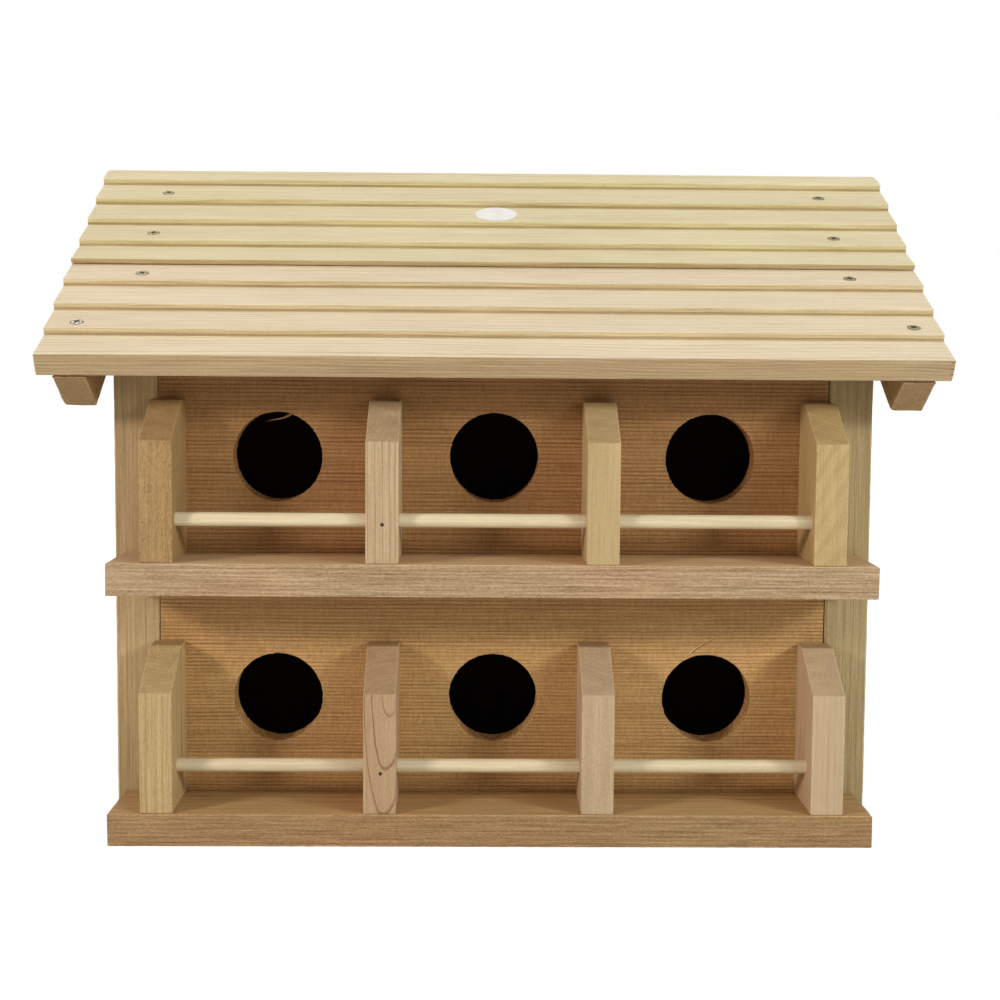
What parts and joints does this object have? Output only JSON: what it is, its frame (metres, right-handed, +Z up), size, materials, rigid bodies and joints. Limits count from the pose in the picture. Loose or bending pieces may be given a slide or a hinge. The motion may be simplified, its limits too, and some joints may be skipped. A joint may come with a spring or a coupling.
{
  "type": "purple martin birdhouse",
  "caption": "Two-storey cedar martin house with round entrances, porches with sloped dividers and dowel perches, under a stepped-board gable roof.",
  "frame": {"origin": "middle of the underside of the base floor", "axes": "X along the ridge to the right, Y from the front to the back, Z up"},
  "size_m": [0.6126, 0.5104, 0.4772],
  "materials": {
    "cedar": "sawn and sanded, unpainted",
    "roof_pine": "planed, unpainted",
    "pale_dowel": "turned, unpainted",
    "inner_cedar": "sawn, unpainted"
  },
  "bodies": {
    "root": {"end_wall_left": "cedar", "end_wall_right": "cedar", "base_floor": "cedar", "lower_front_porch_board": "cedar", "lower_back_porch_board": "cedar", "lower_front_panel": "cedar", "lower_back_panel": "cedar", "lower_room_partitions": "inner_cedar", "lower_front_divider_1": "cedar", "lower_front_divider_2": "cedar", "lower_front_divider_3": "cedar", "lower_front_divider_4": "cedar", "lower_back_divider_1": "cedar", "lower_back_divider_2": "cedar", "lower_back_divider_3": "cedar", "lower_back_divider_4": "cedar", "lower_front_perch": "pale_dowel", "lower_back_perch": "pale_dowel", "middle_floor": "cedar", "upper_front_porch_board": "cedar", "upper_back_porch_board": "cedar", "upper_front_panel": "cedar", "upper_back_panel": "cedar", "upper_room_partitions": "inner_cedar", "upper_front_divider_1": "cedar", "upper_front_divider_2": "cedar", "upper_front_divider_3": "cedar", "upper_front_divider_4": "cedar", "upper_back_divider_1": "cedar", "upper_back_divider_2": "cedar", "upper_back_divider_3": "cedar", "upper_back_divider_4": "cedar", "upper_front_perch": "pale_dowel", "upper_back_perch": "pale_dowel", "roof_batten_front_left": "cedar", "roof_batten_front_right": "cedar", "roof_batten_back_left": "cedar", "roof_batten_back_right": "cedar", "roof_front_lower_board": "roof_pine", "roof_front_upper_board": "roof_pine", "roof_back_lower_board": "roof_pine", "roof_back_upper_board": "roof_pine"}
  },
  "joints": []
}
